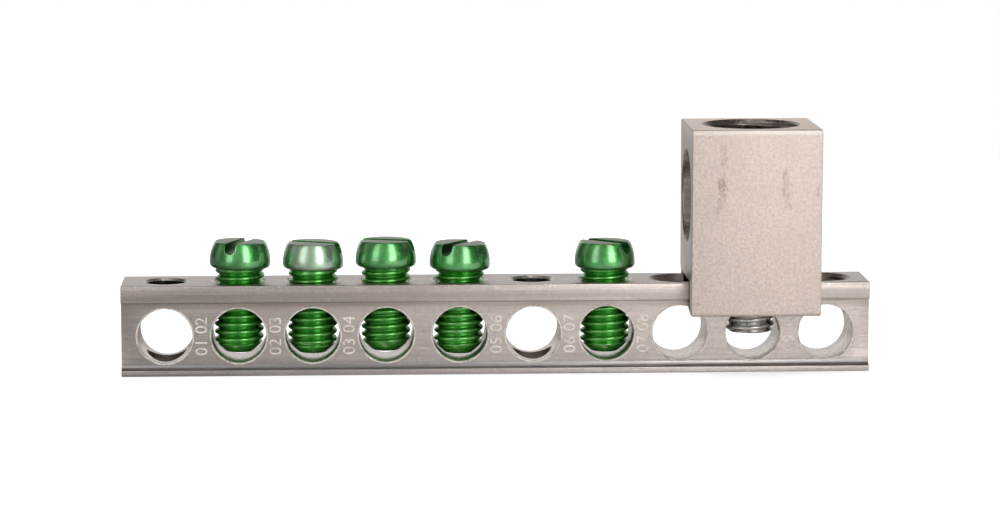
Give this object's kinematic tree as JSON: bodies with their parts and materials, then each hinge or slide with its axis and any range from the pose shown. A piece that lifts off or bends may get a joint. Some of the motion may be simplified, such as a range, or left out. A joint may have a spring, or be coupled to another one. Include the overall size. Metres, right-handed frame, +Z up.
{
  "type": "earth terminal bar",
  "caption": "Drilled aluminium earth bar with green slotted terminal screws in cross holes and a large clamped conductor lug near one end.",
  "frame": {"origin": "centre of the bar's flat bottom face", "axes": "+X along the bar towards the lug, +Y from the front to the back, +Z up, out of the screw heads"},
  "size_m": [0.0808, 0.0126, 0.0266],
  "materials": {
    "extruded_aluminium": "drawn, fine lengthwise lines",
    "lug_aluminium": "etched, fine grain",
    "screw_aluminium": "machined",
    "zinc_plated_steel": "zinc plated",
    "green_plated_steel": "green dyed zinc plating"
  },
  "bodies": {
    "bar": {"terminal_bar": "extruded_aluminium", "lug_body": "lug_aluminium", "lug_fixing_screw": "zinc_plated_steel"},
    "terminal_screw_1": {"terminal_screw_1": "green_plated_steel"},
    "terminal_screw_2": {"terminal_screw_2": "green_plated_steel"},
    "terminal_screw_3": {"terminal_screw_3": "green_plated_steel"},
    "terminal_screw_4": {"terminal_screw_4": "green_plated_steel"},
    "terminal_screw_5": {"terminal_screw_5": "green_plated_steel"},
    "lug_pressure_screw": {"lug_pressure_screw": "screw_aluminium"}
  },
  "joints": [
    {"name": "terminal_screw_1_travel", "type": "slide", "parent": "bar", "child": "terminal_screw_1", "axis": [0, 0, 1], "range_m": [-0.00035, 0.00517]},
    {"name": "terminal_screw_2_travel", "type": "slide", "parent": "bar", "child": "terminal_screw_2", "axis": [0, 0, 1], "range_m": [-0.00019, 0.00533]},
    {"name": "terminal_screw_3_travel", "type": "slide", "parent": "bar", "child": "terminal_screw_3", "axis": [0, 0, 1], "range_m": [-0.00039, 0.00513]},
    {"name": "terminal_screw_4_travel", "type": "slide", "parent": "bar", "child": "terminal_screw_4", "axis": [0, 0, 1], "range_m": [-0.00005, 0.00547]},
    {"name": "terminal_screw_5_travel", "type": "slide", "parent": "bar", "child": "terminal_screw_5", "axis": [0, 0, 1], "range_m": [-0.00012, 0.0054]},
    {"name": "lug_pressure_screw_travel", "type": "slide", "parent": "bar", "child": "lug_pressure_screw", "axis": [0, 0, 1], "range_m": [-0.003, 0.0051]}
  ]
}
